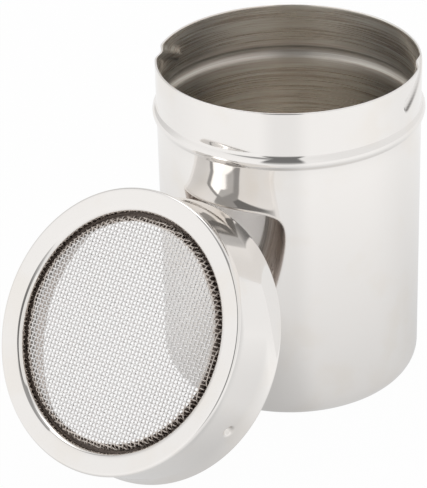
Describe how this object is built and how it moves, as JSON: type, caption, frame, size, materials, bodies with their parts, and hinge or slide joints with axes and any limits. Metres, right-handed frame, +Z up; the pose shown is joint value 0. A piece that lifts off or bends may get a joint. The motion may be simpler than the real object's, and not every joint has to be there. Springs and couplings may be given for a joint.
{
  "type": "mesh-top shaker can",
  "caption": "Round steel shaker can with a rolled bead and locking grooves in its neck; its fine-mesh lid is off and leans against the can.",
  "frame": {"origin": "centre of the can's flat base, on the surface that the can stands on", "axes": "+Z up along the can's axis; +X to the right and +Y to the rear as the set-down lid is seen at the front left"},
  "size_m": [0.1081, 0.1163, 0.0885],
  "materials": {
    "can_steel": "mirror-polished outside, satin inside",
    "lid_steel": "mirror-polished",
    "screen_wire": "bright drawn wire",
    "collar_steel": "satin",
    "ring_steel": "satin"
  },
  "bodies": {
    "can_body": {"can": "can_steel"},
    "lid_body": {"lid": "lid_steel", "screen_warp": "screen_wire", "screen_weft": "screen_wire", "screen_collar": "collar_steel", "retaining_ring": "ring_steel"}
  },
  "joints": [
    {"name": "lid_lift", "type": "slide", "parent": "can_body", "child": "lid_body", "axis": [-0.5152, -0.6594, 0.5476], "range_m": [0, 0.08]}
  ]
}
